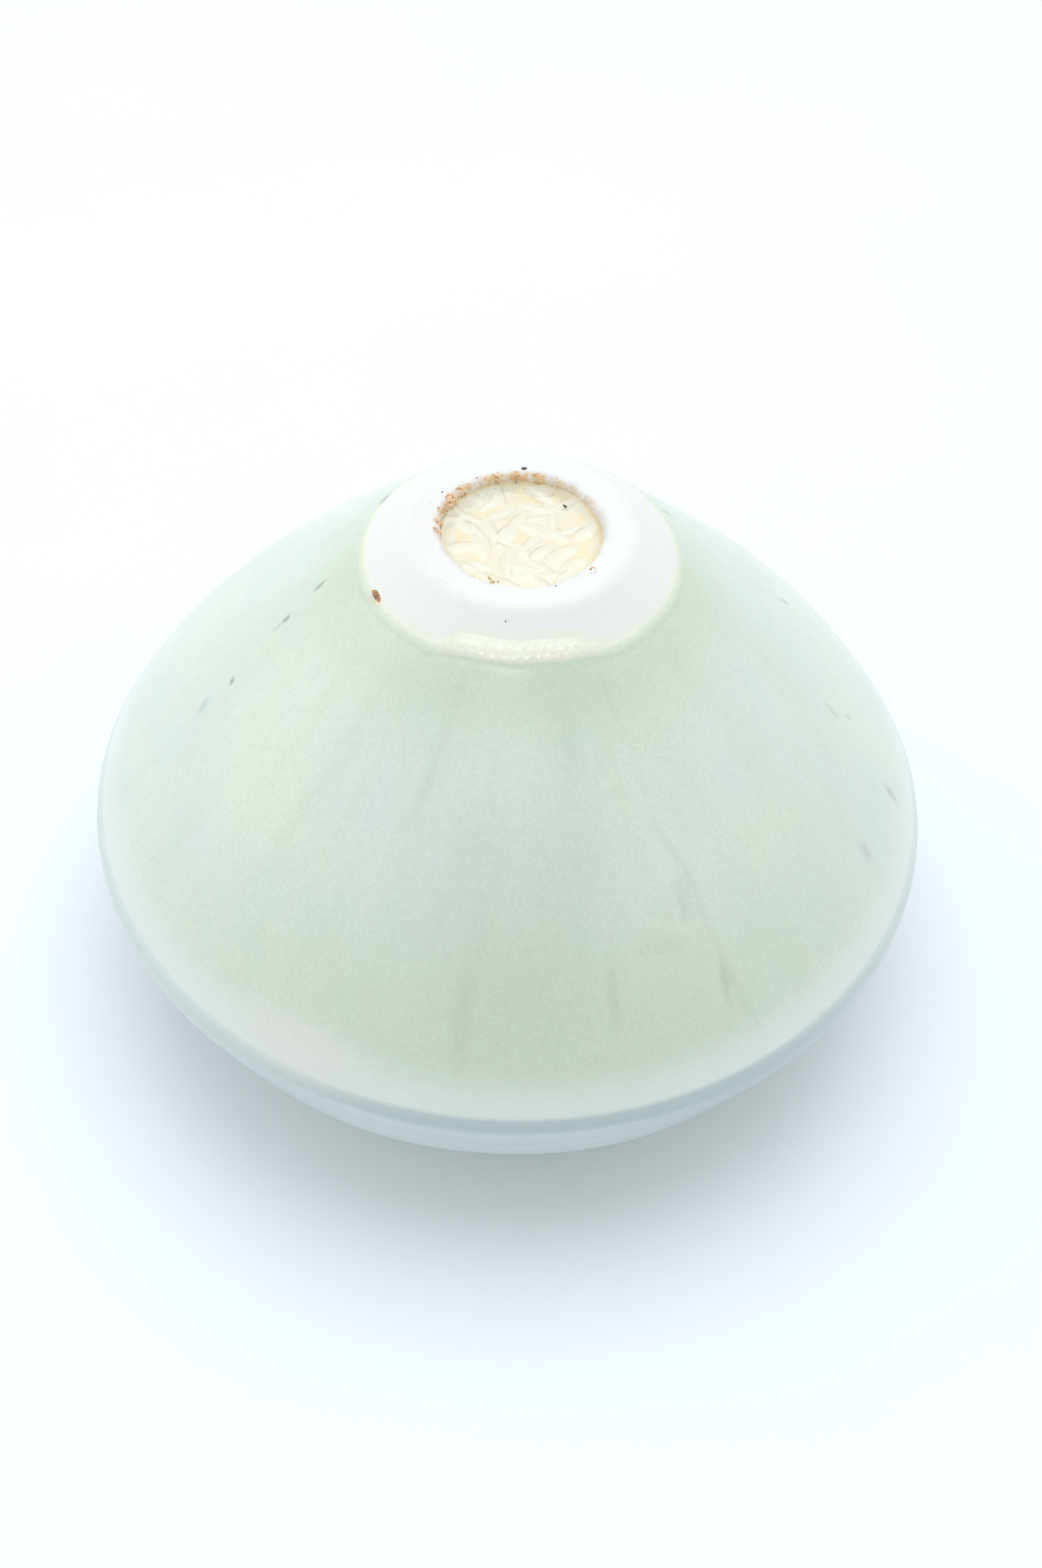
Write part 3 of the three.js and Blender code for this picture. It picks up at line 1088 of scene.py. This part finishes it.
class VASE_OT_celadon_coat(bpy.types.Operator):
    """Lays the celadon over the outside, with its roll, runs and throwing lines"""

    bl_idname = "vase.celadon_coat"
    bl_label = "Celadon coat"

    def execute(self, context):
        form, glaze = context.scene.vase_form, context.scene.vase_glaze
        path = outside(form)
        belly = path.along_at_height(form.belly_height)
        outer = steps(
            (5.0 * MM, 0.16 * MM),
            (belly - 5.0 * MM, 0.7 * MM),
            (belly + 4.0 * MM, 0.3 * MM),
            (belly + 26.0 * MM, 1.0 * MM),
            (path.end, 1.7 * MM),
        )[:, None]
        back = np.linspace(path.end, 0.4 * MM, COAT_BACK_ROWS)[:, None]
        angle = circle_angles(COAT_SEGMENTS)
        shift = line_shift(angle, glaze)
        shift_fades_over = 3.0 * MM
        thinnest = 0.14 * MM

        def rows(along, lift):
            return path.at(along + shift * np.exp(-along / shift_fades_over), lift)

        lift, roll, runs = coat_lift(angle, outer, form, glaze)
        thickness = glaze.coat_thickness * ramp(0.0, 4.0, back) + 0.1 * MM
        thickness = np.maximum(thickness, shoulder_tuck(angle, back - belly) + thinnest)
        front = rows(outer, lift - shoulder_tuck(angle, outer - belly))
        turned_piece(
            "celadon_glaze",
            front_and_back(front, rows(back, -thickness)),
            celadon(form, glaze),
            "celadon",
            "celadon_coat",
            roll=roll,
            run=np.clip(runs, 0.0, 1.0),
            cream=cream_share(angle, outer, glaze),
            pooled=pooled_share(angle, outer, glaze),
            # How strong the painted shade under the belly is, by side
            dark_side=np.broadcast_to(dark_side(angle), runs.shape),
            tucked=np.broadcast_to(tucked_side(angle), runs.shape),
        )
        return {"FINISHED"}


class VASE_OT_liner_coat(bpy.types.Operator):
    """Lays the thin glaze over the inside, over throwing rings"""

    bl_idname = "vase.liner_coat"
    bl_label = "Liner coat"

    def execute(self, context):
        form, glaze = context.scene.vase_form, context.scene.vase_glaze
        path = Outline(inside(form))
        liner = 0.6 * MM
        along = steps((path.end, 1.1 * MM))[:, None]
        angle = circle_angles(LINER_SEGMENTS)
        rings = 0.07 * MM * np.sin(math.tau * along / (5.2 * MM) + np.sin(angle))
        rings = rings * ramp(0.0, 6.0, along) * ramp(0.0, 4.0, path.end - along)
        radius, height = front_and_back(path.at(along, rings), path.at(along[::-1], liner + 0.0 * angle))
        radius[0], radius[-1] = 0.0, 0.0
        rows = (radius, height)
        turned_piece("liner_glaze", rows, pale_celadon(glaze), "pale_celadon", "liner_coat", on_axis=True)
        return {"FINISHED"}


class VASE_OT_rim_bead(bpy.types.Operator):
    """Closes the two coats over the lip with a bead"""

    bl_idname = "vase.rim_bead"
    bl_label = "Rim bead"

    def execute(self, context):
        form, glaze = context.scene.vase_form, context.scene.vase_glaze
        curve, top = form.lip_round, form.lip_height + OVERLAP
        outer, inner = form.neck_radius, form.mouth_radius
        skin = 0.6 * MM
        wall = [(inner, curve), (inner, top), (inner + skin, top), (inner + skin, skin)]
        path = joined(
            straight((outer, top), (outer, curve)),
            arc((outer - curve, curve), curve, 0.0, -math.pi / 2),
            straight((outer - curve, 0.0), (inner + curve, 0.0)),
            arc((inner + curve, curve), curve, -math.pi / 2, -math.pi),
            through(*wall, (outer - skin, skin), (outer - skin, top), (outer, top))[:-1],
        )
        outline = Outline(path)
        along = steps((outline.end, 0.25 * MM))[:-1, None]
        angle = circle_angles(RIM_SEGMENTS)
        radius, height = outline.at(along)
        outer_side = smooth(outer - 0.4 * MM, outer, radius) * ramp(0.4, 1.6, height)
        swell = 0.16 * MM * outer_side * (1.0 + 0.4 * waves(angle, along, 6, 12, seed=41))
        rows = (radius + swell, height + 0.0 * angle)
        turned_piece("rim_glaze", rows, pale_celadon(glaze), "pale_celadon", "rim_bead")
        return {"FINISHED"}


def brush_strokes(x, y, glaze, reach):
    """Relief of crossing leaf-shaped strokes on the floor of the well, from 0 to 1, and painted shade along
    one edge of each
    """
    draw = np.random.default_rng(51)
    relief = np.zeros_like(x)
    crease = np.zeros_like(x)
    for stroke in range(glaze.stroke_count):
        away = reach * math.sqrt((stroke + draw.uniform(0.0, 1.0)) / glaze.stroke_count)
        side = 2.4 * stroke + draw.uniform(-0.4, 0.4)
        way = draw.choice((0.6, -0.65, 0.1, 1.5), p=(0.32, 0.3, 0.16, 0.22)) + draw.normal(0.0, 0.3)
        half_length = draw.uniform(2.4, 4.4) * MM
        half_width = draw.uniform(0.7, 1.25) * MM
        right, up = x - away * math.cos(side), y - away * math.sin(side)
        along = (right * math.cos(way) + up * math.sin(way)) / half_length
        bow = draw.uniform(-0.35, 0.35) * MM * (along * along - 0.4)
        taper = np.clip(1.0 - along * along, 0.0, 1.0)
        across = (up * math.cos(way) - right * math.sin(way) + bow) / (half_width * np.maximum(taper, 0.02))
        leaf = draw.uniform(0.6, 1.0) * np.clip(1.0 - np.abs(across) ** 1.35, 0.0, 1.0) * taper
        # Painted shade along one edge of each stroke, where no later stroke covers it
        edge = hump(np.abs(across), 1.04, 0.16) * taper * draw.uniform(0.4, 1.0)
        edge = edge * smooth(-0.4, 0.8, -across * draw.choice((-1.0, 1.0)))
        crease = np.where(leaf > relief, 0.0, np.maximum(crease, edge * smooth(0.9, 0.4, relief)))
        relief = np.maximum(relief, leaf)
    return relief, crease


class VASE_OT_well_pool(bpy.types.Operator):
    """Fills the well with cream glaze over a floor of crossing strokes"""

    bl_idname = "vase.well_pool"
    bl_label = "Well pool"

    def execute(self, context):
        form, glaze = context.scene.vase_form, context.scene.vase_glaze
        angle = circle_angles(POOL_SEGMENTS)[None, :]
        edge = form.well_radius + well_wander(angle) + OVERLAP
        radius = np.linspace(0.0, 1.0, POOL_ROWS)[:, None] * edge
        x, y = radius * np.cos(angle), radius * np.sin(angle)
        relief, crease = brush_strokes(x, y, glaze, form.well_radius)
        from_wall = edge - radius
        quiet = ramp(0.3, 1.3, from_wall)
        creep = np.clip(1.0 - from_wall / (2.0 * MM), 0.0, 1.0) ** 1.8
        floor = form.foot_face - form.well_depth
        height = floor + glaze.stroke_depth * (relief - 0.6) * quiet + 1.85 * MM * creep
        height[0] = height[0].mean()
        underside = np.full((2, POOL_SEGMENTS), POOL_LOW.z)
        under_radius = np.concatenate([edge, 0.0 * edge])
        right_side = window(angle, 8.0, 55.0, 5.0)
        far_side = window(angle, 85.0, 100.0, 40.0)
        rusty = 0.5 * rust_side(angle) * ramp(0.9, 0.25, from_wall)
        wash = (0.06 + 0.9 * right_side + 0.4 * far_side) * ramp(1.1, 0.3, from_wall) + rusty
        turned_piece(
            "well_glaze",
            front_and_back((radius, height), (under_radius, underside)),
            cream_pool(glaze),
            "cream_glaze",
            "well_pool",
            on_axis=True,
            gap=smooth(0.35, 0.0, relief) * quiet,
            # Painted shade along the strokes' edges
            crease=crease * quiet,
            amber=np.clip(wash, 0.0, 1.0),
            rim=ramp(0.6, 0.2, from_wall) * (1.0 - np.maximum(right_side, rust_side(angle))),
        )
        return {"FINISHED"}


def add_grain(shape, tints, centre, turned, size, tint, seed):
    """One rough grain of a size (across, along, high), set in a shape"""
    made = bmesh.ops.create_icosphere(shape, subdivisions=3, radius=0.5)
    shift = Vector((seed * 7.3, seed * 3.1, seed * 1.7))
    stretch = Matrix.Diagonal((*size, 1.0))
    for vertex in made["verts"]:
        dent = 1.0 + 0.4 * noise.noise(vertex.co * 2.6 + shift)
        vertex.co = centre + turned @ (stretch @ (vertex.co * dent))
    for face in {face for vertex in made["verts"] for face in vertex.link_faces}:
        face[tints] = tint
        face.smooth = True


def grain_piece(name, material, grains):
    """A piece of many grains: (centre, turn, size, tint)"""
    shape = bmesh.new()
    tints = shape.faces.layers.float.new("tint")
    for seed, grain in enumerate(grains):
        add_grain(shape, tints, *grain, seed)
    mesh = bpy.data.meshes.new(name)
    shape.to_mesh(mesh)
    shape.free()
    place(new_object(name, mesh, material), "kiln_grit")


def around(side, radius, height):
    turned = math.radians(side)
    return Vector((radius * math.cos(turned), radius * math.sin(turned), height))


# Grit on the foot: sizes and places in millimetres

# Stuck to the well's edge: side and spread in degrees, number of grains, largest grain
GRIT_PATCHES = (
    (97.0, 3.5, 26, 0.6),
    (84.0, 5.0, 24, 0.45),
    (111.0, 3.0, 16, 0.6),
    (66.0, 9.0, 14, 0.25),
    (124.0, 9.0, 36, 0.36),
    (140.0, 5.0, 26, 0.45),
    (151.0, 3.5, 30, 0.7),
    (165.0, 5.0, 22, 0.42),
    (176.0, 3.0, 18, 0.45),
    (186.0, 3.0, 20, 0.55),
)

# Loose crumbs: side in degrees, radius and drop under the foot's flat, number of grains, largest grain
CRUMB_PATCHES = (
    (-38.0, 11.8, 0.0, 6, 0.34),
    (-70.0, 11.2, 0.05, 4, 0.2),
    (-120.0, 11.2, 0.05, 4, 0.2),
    (160.0, 13.0, 0.0, 3, 0.16),
    (-113.0, 8.6, 2.1, 8, 0.4),
)


class VASE_OT_kiln_grit(bpy.types.Operator):
    """Sticks grains of kiln grit along the edge of the well"""

    bl_idname = "vase.kiln_grit"
    bl_label = "Kiln grit"

    def execute(self, context):
        form = context.scene.vase_form
        draw = np.random.default_rng(61)
        grains = []

        def drop_grain(largest, side, radius, drop):
            size = largest * MM * draw.uniform(0.4, 1.0)
            turned = Matrix.Rotation(draw.uniform(0.0, math.tau), 3, Vector(draw.normal(size=3)))
            scale = size * draw.uniform(0.6, 1.15, 3)
            grains.append((around(side, radius, form.foot_face - drop), turned, scale, draw.uniform()))

        for side, spread_by, count, largest in GRIT_PATCHES:
            for _ in range(count):
                slide = draw.uniform(0.0, 1.0)
                radius = form.well_radius + 0.75 * MM * (1.0 - slide) ** 2 - 0.25 * MM * slide
                drop = 0.1 * MM + 1.1 * MM * slide**1.5
                drop_grain(largest, draw.normal(side, spread_by / 2), radius, drop)
        for side, radius, drop, count, largest in CRUMB_PATCHES:
            for _ in range(count):
                away = radius * MM + draw.normal(0.0, 0.35) * MM
                drop_grain(largest, draw.normal(side, 2.0), away, drop * MM)
        grain_piece("kiln_grit", fused_grit(context.scene.vase_clay), grains)
        return {"FINISHED"}


# Marks on the vase: sides and tilts in degrees, sizes and places in millimetres

# Iron spot at the glaze line: side, height, width, length and tilt
IRON_SPOT = (-151.6, 70.75, 2.5, 1.1, 6.0)

# Faint smudges in the glaze: side, height, width, length, tilt and strength
SMUDGES = (
    (32.0, 68.4, 1.6, 3.4, 0.0, 1.0),
    (20.0, 51.6, 1.7, 3.0, 0.0, 0.7),
    (-4.0, 47.5, 1.6, 5.0, 0.0, 0.3),
    (-1.5, 44.4, 1.0, 2.4, 0.0, 0.4),
    (-7.0, 34.8, 2.4, 7.0, 0.0, 0.4),
    (-21.6, 37.2, 2.8, 5.6, 0.0, 0.3),
    (-172.4, 60.6, 1.5, 2.3, -10.0, 1.0),
    (-171.9, 59.5, 0.9, 3.0, -10.0, 0.35),
    (-175.5, 65.1, 1.1, 3.2, -12.0, 0.9),
    (-167.2, 48.7, 2.0, 4.0, -30.0, 0.35),
    (-167.1, 53.0, 1.2, 2.0, -62.0, 1.0),
    (-94.6, 38.6, 4.0, 20.0, 0.0, 0.13),
    (-58.7, 47.9, 3.4, 9.0, 6.0, 0.16),
    (-64.4, 44.4, 12.0, 4.0, 8.0, 0.11),
    (-73.1, 40.8, 2.2, 14.0, 0.0, 0.15),
    (-56.1, 38.6, 2.0, 9.0, 6.0, 0.25),
    (152.5, 70.4, 1.8, 4.0, 80.0, 0.6),
    (70.0, 52.0, 0.9, 2.0, 0.0, 0.6),
    (118.0, 41.0, 1.4, 4.0, 0.0, 0.35),
)

# Black specks on the foot: side, radius, drop under the foot's flat, width and length
FOOT_SPECKS = (
    (90.9, 11.7, 0.0, 0.45, 0.8),
    (113.5, 10.0, 1.6, 0.35, 0.42),
    (150.0, 12.2, 0.0, 0.2, 0.24),
    (-66.0, 11.4, 0.1, 0.16, 0.2),
    (-94.6, 16.1, 1.15, 0.15, 0.17),
    (52.0, 8.9, 2.05, 0.16, 0.6),
)


def surface_point(form, glaze, side, at_height, tilt):
    """A point of the celadon at a side and a height, with its frame: across, down the wall, outward"""
    path = outside(form)
    along = path.along_at_height(at_height * MM)
    turned = math.radians(side)
    lift = coat_lift(np.array([turned]), np.array([along]), form, glaze)[0][0]
    radius, height = path.at(along, lift)
    lower_radius, lower_height = path.at(along + 0.5 * MM, lift)
    outward = Vector((math.cos(turned), math.sin(turned), 0.0))
    down = (outward * (lower_radius - radius) + Vector((0.0, 0.0, lower_height - height))).normalized()
    across = Vector((-math.sin(turned), math.cos(turned), 0.0))
    axes = Matrix((across, down, across.cross(down))).transposed()
    centre = outward * radius + Vector((0.0, 0.0, height))
    return centre, axes @ Matrix.Rotation(math.radians(tilt), 3, "Z")


def smudge(tree, form, glaze, side, height, width, long, tilt):
    """The mask of a soft spot on the celadon"""
    place_at, axes = surface_point(form, glaze, side, height, tilt)
    across, along, through_wall = (
        axis * (2.0 / (size * MM)) for axis, size in zip(axes.col, (width, long, max(width, long)))
    )
    return use(tree, "Smudge", place=place_at, across=across, along=along, through=through_wall)


class VASE_OT_dark_marks(bpy.types.Operator):
    """Sets the iron spot at the glaze line and black specks on the foot"""

    bl_idname = "vase.dark_marks"
    bl_label = "Dark marks"

    def execute(self, context):
        form, look = context.scene.vase_form, context.scene.vase_clay
        side, height, width, long, tilt = IRON_SPOT
        centre, turned = surface_point(form, context.scene.vase_glaze, side, height, tilt)
        spot = (centre, turned, (width * MM, long * MM, 0.3 * MM), 0.0)
        grain_piece("iron_spot", burnt_iron(look), [spot])
        specks = []
        for side, radius, drop, width, long in FOOT_SPECKS:
            centre = around(side, radius * MM, form.foot_face - drop * MM)
            turned = Matrix.Rotation(math.radians(side + 90.0), 3, "Z")
            specks.append((centre, turned, (long * MM, width * MM, 0.35 * MM), 0.0))
        grain_piece("foot_specks", dark_specks(look), specks)
        return {"FINISHED"}


# Stage


def add_panel(name, place_at, size, power, tint):
    """An area light that faces the vase"""
    light = bpy.data.lights.new(name, "AREA")
    light.shape = "RECTANGLE"
    light.size, light.size_y = size
    light.energy = power
    light.color = tint
    lamp = bpy.data.objects.new(name, light)
    bpy.context.scene.collection.objects.link(lamp)
    lamp.location = place_at
    lamp.rotation_euler = (-Vector(place_at)).to_track_quat("-Z", "Y").to_euler()


class VASE_OT_stage(bpy.types.Operator):
    """Adds the floor, the soft light and the camera"""

    bl_idname = "vase.stage"
    bl_label = "Stage"

    def execute(self, context):
        stage, form = context.scene.vase_stage, context.scene.vase_form
        self.add_floor(stage)
        self.add_light(context.scene, stage)
        self.add_camera(context.scene, stage, form)
        return {"FINISHED"}

    def add_floor(self, stage):
        shape = bmesh.new()
        bmesh.ops.create_circle(shape, cap_ends=True, radius=stage.floor_radius, segments=96)
        mesh = bpy.data.meshes.new("floor")
        shape.to_mesh(mesh)
        shape.free()
        floor = new_object("floor", mesh, pale_floor(stage))
        floor.location.z = -0.02 * MM

    def add_light(self, scene, stage):
        world = bpy.data.worlds.new("Soft studio")
        world.use_nodes = True
        tree = world.node_tree
        background = tree.nodes["Background"]
        way = add(tree, "ShaderNodeTexCoord").outputs["Generated"]
        to_front = {0: way, 1: (0.0, -0.9, 0.43)}
        ahead = add(tree, "ShaderNodeVectorMath", to_front, operation="DOT_PRODUCT").outputs["Value"]
        front = stage.sky_strength * stage.sky_front
        connect(tree, background.inputs["Color"], stage.sky)
        strength = spread(tree, ahead, 0.1, 0.95, stage.sky_strength, front)
        connect(tree, background.inputs["Strength"], strength)
        scene.world = world
        add_panel("Panel overhead", (0.0, 0.25, 0.95), (0.9, 0.9), stage.panel_power, stage.sky)
        add_panel("Panel on the left", (-0.9, 0.1, 0.45), (0.7, 0.7), stage.side_power, stage.sky)
        add_panel("Small lamp in front", (-0.05, -0.53, 0.72), (0.16, 0.1), stage.lamp_power, stage.sky)
        scene.view_settings.view_transform = "Standard"

    def add_camera(self, scene, stage, form):
        data = bpy.data.cameras.new("Camera")
        data.sensor_width = SENSOR_MM
        data.lens = SENSOR_MM * stage.focal_pixels / PHOTO_HEIGHT
        data.clip_start = 1.0 * MM
        camera = bpy.data.objects.new("Camera", data)
        scene.collection.objects.link(camera)
        target = Vector((stage.aside, 0.0, form.belly_height - stage.below))
        back = Vector((0.0, -math.cos(stage.tilt), math.sin(stage.tilt)))
        level = Vector((1.0, 0.0, 0.0))
        upright = back.cross(level)
        right = level * math.cos(stage.roll) + upright * math.sin(stage.roll)
        up = upright * math.cos(stage.roll) - level * math.sin(stage.roll)
        turned = Matrix((right, up, back)).transposed().to_4x4()
        camera.matrix_world = Matrix.Translation(target + back * stage.distance) @ turned
        scene.camera = camera


OPERATORS = (
    VASE_OT_stage,
    VASE_OT_clay_sections,
    VASE_OT_foot_ring,
    VASE_OT_celadon_coat,
    VASE_OT_liner_coat,
    VASE_OT_rim_bead,
    VASE_OT_well_pool,
    VASE_OT_kiln_grit,
    VASE_OT_dark_marks,
)
SETTINGS = {"vase_form": VaseForm, "vase_glaze": GlazeLook, "vase_clay": ClayLook, "vase_stage": StageLook}


class VASE_PT_sidebar(bpy.types.Panel):
    """Lists the sizes, the colours and the steps"""

    bl_idname = "VASE_PT_sidebar"
    bl_label = "Celadon vase"
    bl_space_type = "VIEW_3D"
    bl_region_type = "UI"
    bl_category = "Vase"

    def draw(self, context):
        for operator in OPERATORS:
            self.layout.operator(operator.bl_idname)
        for name, kind in SETTINGS.items():
            box = self.layout.box()
            box.label(text=kind.__doc__)
            for label in kind.__annotations__:
                box.prop(getattr(context.scene, name), label)


def register():
    for kind in (*SETTINGS.values(), *OPERATORS, VASE_PT_sidebar):
        bpy.utils.register_class(kind)
    for name, kind in SETTINGS.items():
        setattr(bpy.types.Scene, name, PointerProperty(type=kind))


def unregister():
    for name in SETTINGS:
        delattr(bpy.types.Scene, name)
    for kind in reversed((*SETTINGS.values(), *OPERATORS, VASE_PT_sidebar)):
        bpy.utils.unregister_class(kind)


def main():
    register()
    bpy.ops.vase.stage()
    bpy.ops.vase.clay_sections()
    bpy.ops.vase.foot_ring()
    bpy.ops.vase.celadon_coat()
    bpy.ops.vase.liner_coat()
    bpy.ops.vase.rim_bead()
    bpy.ops.vase.well_pool()
    bpy.ops.vase.kiln_grit()
    bpy.ops.vase.dark_marks()


if __name__ == "__main__":
    main()
